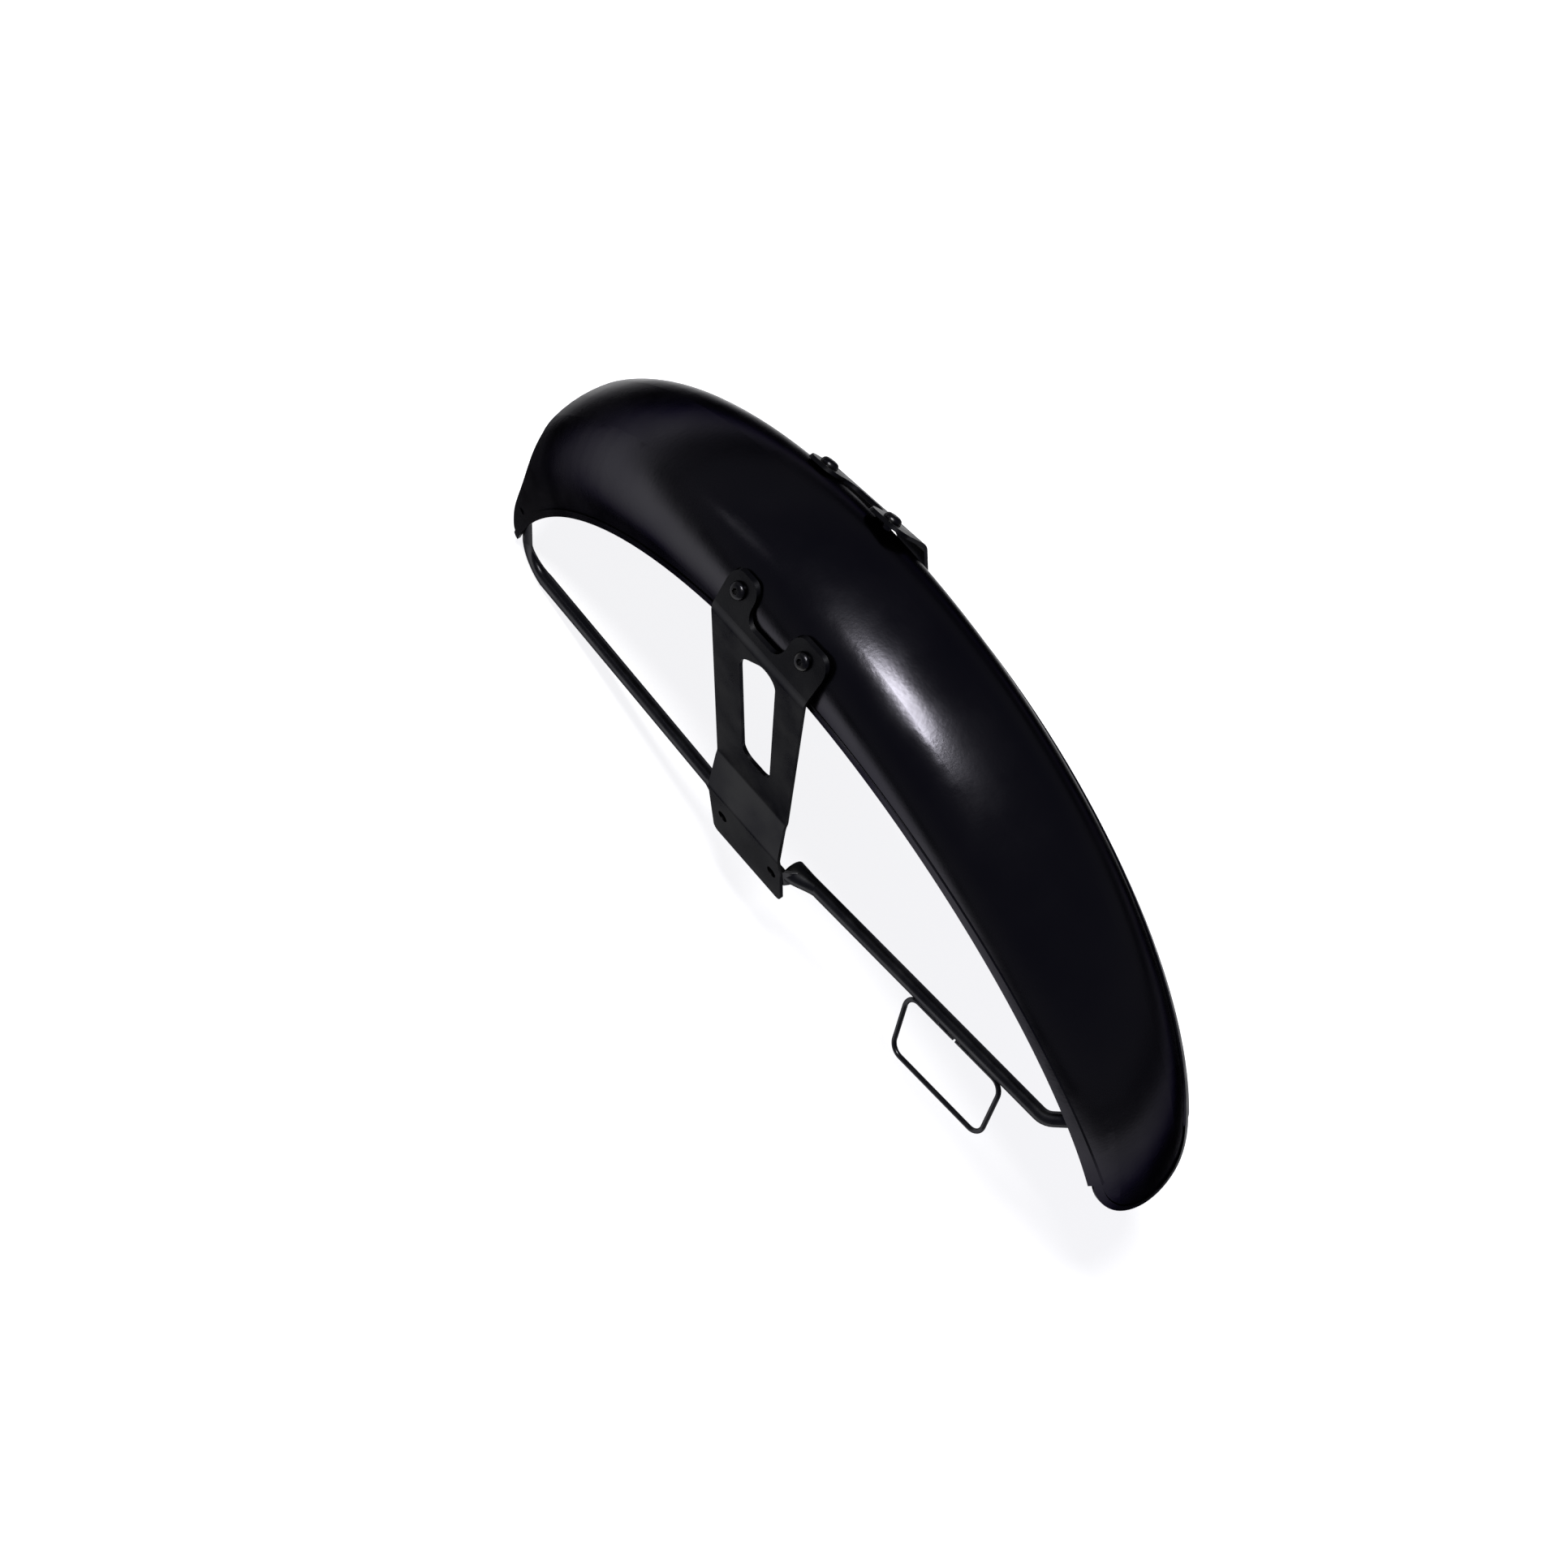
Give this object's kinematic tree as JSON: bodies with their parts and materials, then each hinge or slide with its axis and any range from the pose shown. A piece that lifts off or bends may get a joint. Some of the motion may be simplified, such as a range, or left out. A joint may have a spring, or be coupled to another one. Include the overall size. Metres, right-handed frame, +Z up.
{
  "type": "motorcycle front mudguard",
  "caption": "Curved black front mudguard blade with side brackets that bolt to the fork, bent bar stays to both ends and a wire cable guide.",
  "frame": {"origin": "on the wheel axis, in the middle plane of the blade", "axes": "+X forward, +Y to the rider's left along the wheel axis, +Z up"},
  "size_m": [0.6212, 0.1496, 0.3675],
  "materials": {
    "gloss_black_paint": "gloss",
    "satin_black_paint": "satin",
    "matte_grey_paint": "matte",
    "dark_steel": "satin"
  },
  "bodies": {
    "root": {"mudguard_blade": "gloss_black_paint", "side_bracket_right": "matte_grey_paint", "side_bracket_left": "matte_grey_paint", "backing_plate_right": "matte_grey_paint", "backing_plate_left": "matte_grey_paint", "front_stay": "satin_black_paint", "rear_stay_right": "satin_black_paint", "rear_stay_left": "satin_black_paint", "cable_guide_loop": "satin_black_paint", "ear_bolts": "dark_steel", "ear_washers": "dark_steel", "ear_nuts": "dark_steel"}
  },
  "joints": []
}
